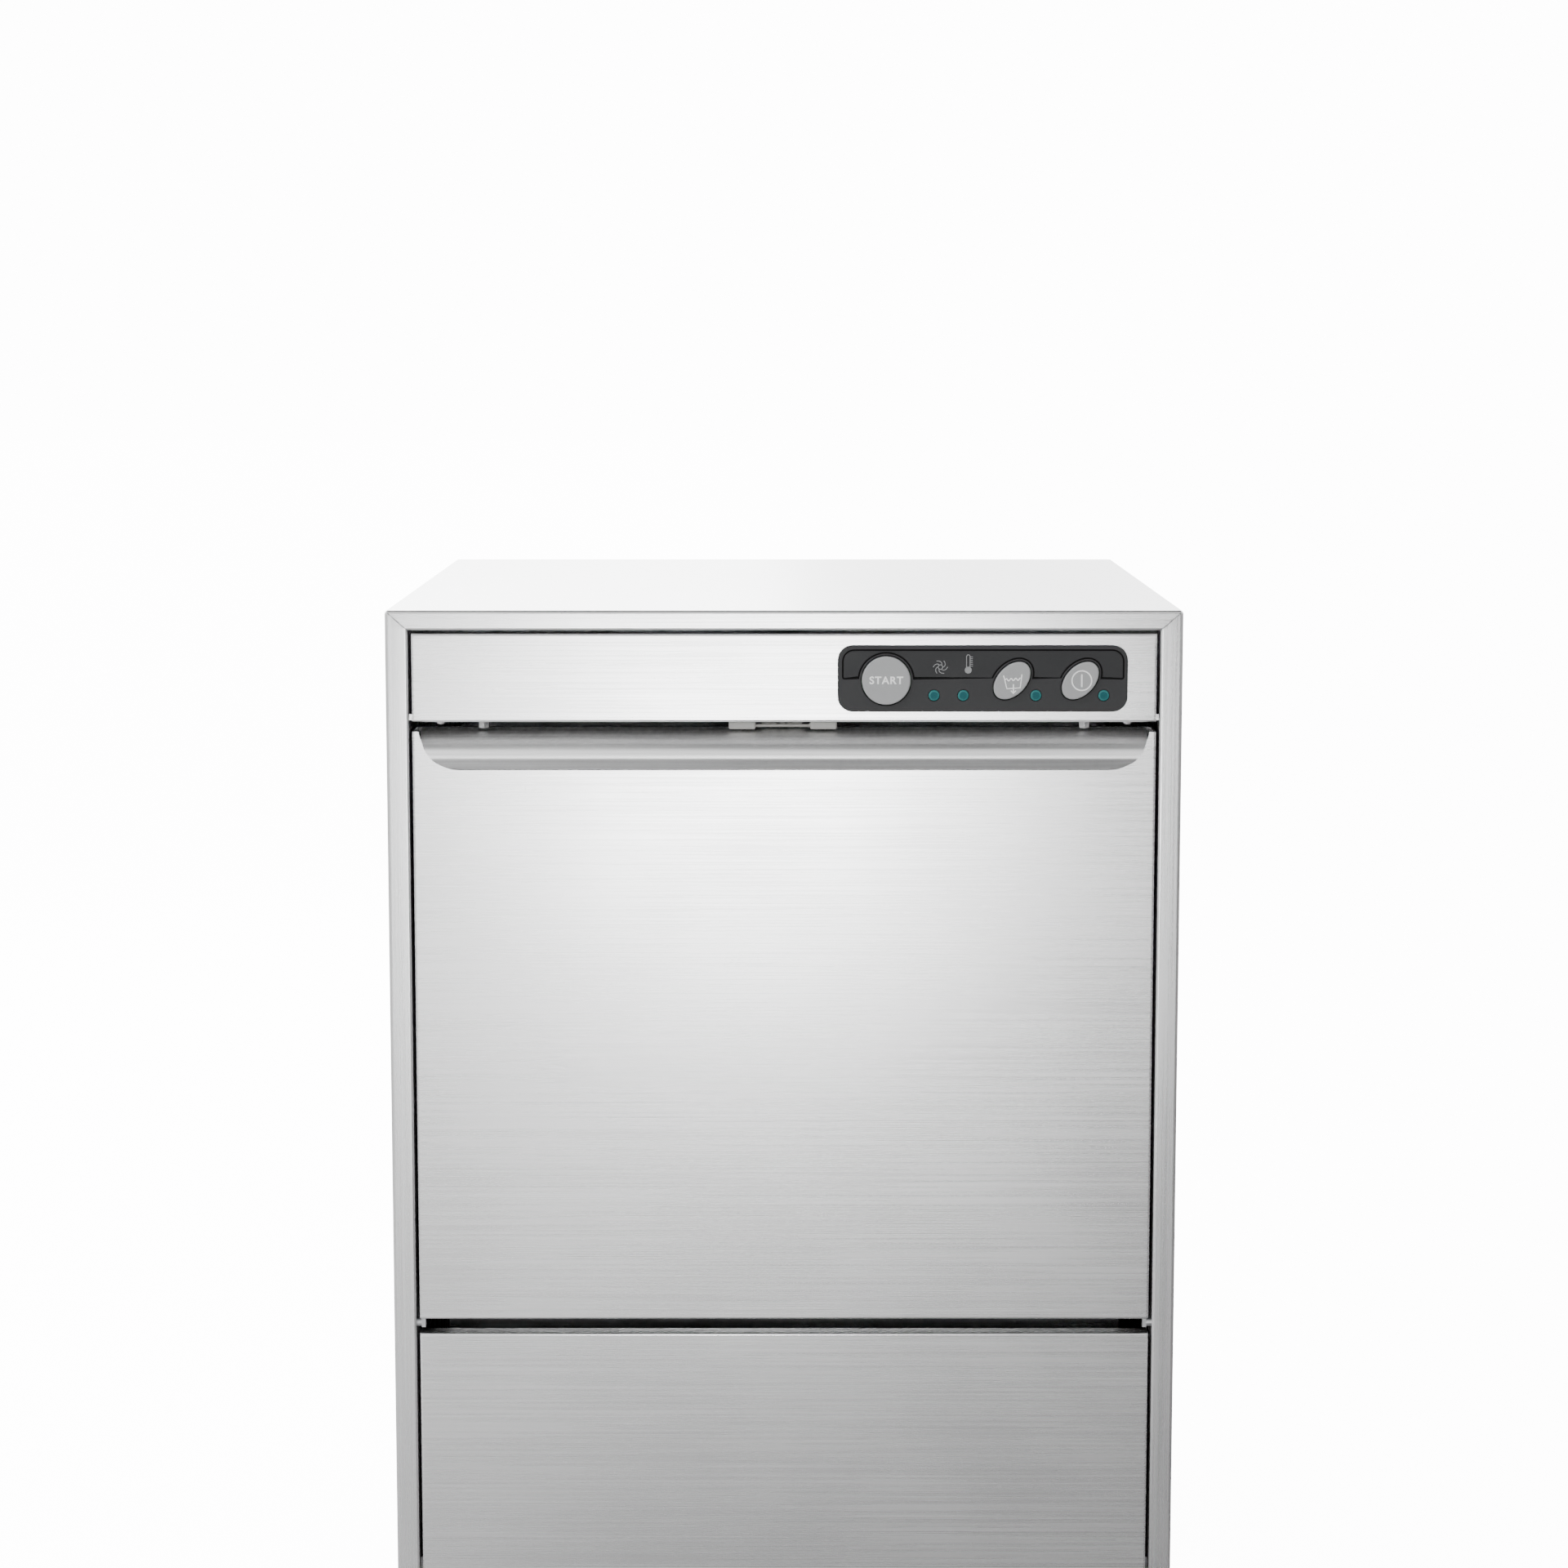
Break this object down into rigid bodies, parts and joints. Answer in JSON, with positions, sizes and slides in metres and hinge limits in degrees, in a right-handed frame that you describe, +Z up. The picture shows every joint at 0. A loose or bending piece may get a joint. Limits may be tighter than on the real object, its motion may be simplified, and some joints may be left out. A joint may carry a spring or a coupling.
{
  "type": "undercounter dishwasher",
  "caption": "Undercounter dishwasher with a stainless cabinet, a drop-down door with a full-width lip handle, and a push-button panel.",
  "frame": {"origin": "on the floor under the middle of the whole machine", "axes": "+Z up, +X to the right seen from the front, -Y out of the door"},
  "size_m": [0.6, 0.61, 0.82],
  "materials": {
    "steel_panel": "fine horizontal brushed grain",
    "galvanised": "dull zinc",
    "tub_steel": "smooth satin",
    "dark_plastic": "fine matt texture",
    "button_plastic": "satin",
    "teal_lens": "gloss",
    "circuit_board": "lacquered",
    "light_plastic": "satin",
    "black_plastic": "satin",
    "black_rubber": "matt",
    "blue_plastic": "satin",
    "cast_aluminium": "as cast",
    "spring_steel": "oiled"
  },
  "bodies": {
    "cabinet": {"top_panel": "steel_panel", "left_side_panel": "steel_panel", "right_side_panel": "steel_panel", "front_lower_panel": "steel_panel", "control_fascia": "steel_panel", "rear_panel": "galvanised", "base_tray": "galvanised", "front_crossbar": "galvanised", "hinge_bracket_left": "galvanised", "hinge_bracket_right": "galvanised", "wash_tub": "tub_steel", "sump_tank": "tub_steel", "tank_filter": "tub_steel", "lower_arm_post": "tub_steel", "upper_arm_post": "tub_steel", "rack_guide_left": "tub_steel", "rack_guide_right": "tub_steel", "boiler": "tub_steel", "control_insert": "dark_plastic", "wash_light": "teal_lens", "rinse_light": "teal_lens", "drain_light": "teal_lens", "power_light": "teal_lens", "control_board": "circuit_board", "catch_holder": "light_plastic", "wash_manifold": "light_plastic", "drain_hose": "light_plastic", "inlet_valve": "light_plastic", "chemical_dosers": "light_plastic", "door_switch": "black_plastic", "wash_pump_casing": "black_plastic", "drain_pump": "black_plastic", "terminal_box": "black_plastic", "door_gasket": "black_rubber", "lower_arm_cap": "blue_plastic", "upper_arm_cap": "blue_plastic", "dish_rack": "blue_plastic", "wash_pump_motor": "cast_aluminium", "door_spring_left": "spring_steel", "door_spring_right": "spring_steel", "tank_heater": "spring_steel", "boiler_heater": "spring_steel"},
    "door": {"door_outer_skin": "steel_panel", "door_handle": "steel_panel", "door_inner_panel": "tub_steel", "hinge_arm_left": "galvanised", "hinge_arm_right": "galvanised"},
    "start_button": {"start_button": "button_plastic"},
    "drain_button": {"drain_button": "button_plastic"},
    "power_button": {"power_button": "button_plastic"},
    "catch": {"catch_slider": "light_plastic"},
    "lower_wash_arm": {"lower_wash_arm": "tub_steel"},
    "lower_rinse_arm": {"lower_rinse_arm": "tub_steel"},
    "upper_wash_arm": {"upper_wash_arm": "tub_steel"},
    "upper_rinse_arm": {"upper_rinse_arm": "tub_steel"},
    "pump_rotor": {"pump_rotor": "spring_steel"},
    "foot_front_left": {"foot_front_left": "black_plastic"},
    "foot_front_right": {"foot_front_right": "black_plastic"},
    "foot_rear_left": {"foot_rear_left": "black_plastic"},
    "foot_rear_right": {"foot_rear_right": "black_plastic"}
  },
  "joints": [
    {"name": "door_hinge", "type": "hinge", "parent": "cabinet", "child": "door", "pos_m": [0, -0.2895, 0.2701], "axis": [1, 0, 0], "range_deg": [0, 90]},
    {"name": "start_press", "type": "slide", "parent": "cabinet", "child": "start_button", "axis": [0, 1, 0], "range_m": [0, 0.002], "stiffness_N_per_m": 600, "springref_m": -0.0005},
    {"name": "drain_press", "type": "slide", "parent": "cabinet", "child": "drain_button", "axis": [0, 1, 0], "range_m": [0, 0.002], "stiffness_N_per_m": 600, "springref_m": -0.0005},
    {"name": "power_press", "type": "slide", "parent": "cabinet", "child": "power_button", "axis": [0, 1, 0], "range_m": [0, 0.002], "stiffness_N_per_m": 600, "springref_m": -0.0005},
    {"name": "catch_push", "type": "slide", "parent": "cabinet", "child": "catch", "axis": [0, 1, 0], "range_m": [0, 0.003], "stiffness_N_per_m": 600, "springref_m": -0.0005},
    {"name": "lower_wash_arm_spin", "type": "hinge", "parent": "cabinet", "child": "lower_wash_arm", "pos_m": [0, 0.005, 0.262], "axis": [0, 0, 1], "continuous": true},
    {"name": "lower_rinse_arm_spin", "type": "hinge", "parent": "cabinet", "child": "lower_rinse_arm", "pos_m": [0, 0.005, 0.278], "axis": [0, 0, 1], "continuous": true},
    {"name": "upper_wash_arm_spin", "type": "hinge", "parent": "cabinet", "child": "upper_wash_arm", "pos_m": [0, 0.005, 0.7037], "axis": [0, 0, 1], "continuous": true},
    {"name": "upper_rinse_arm_spin", "type": "hinge", "parent": "cabinet", "child": "upper_rinse_arm", "pos_m": [0, 0.005, 0.6857], "axis": [0, 0, 1], "continuous": true},
    {"name": "pump_rotor_spin", "type": "hinge", "parent": "cabinet", "child": "pump_rotor", "pos_m": [0.215, 0.05, 0.112], "axis": [0, 1, 0], "continuous": true},
    {"name": "foot_front_left_height", "type": "slide", "parent": "cabinet", "child": "foot_front_left", "axis": [0, 0, -1], "range_m": [0, 0.02]},
    {"name": "foot_front_right_height", "type": "slide", "parent": "cabinet", "child": "foot_front_right", "axis": [0, 0, -1], "range_m": [0, 0.02]},
    {"name": "foot_rear_left_height", "type": "slide", "parent": "cabinet", "child": "foot_rear_left", "axis": [0, 0, -1], "range_m": [0, 0.02]},
    {"name": "foot_rear_right_height", "type": "slide", "parent": "cabinet", "child": "foot_rear_right", "axis": [0, 0, -1], "range_m": [0, 0.02]}
  ]
}
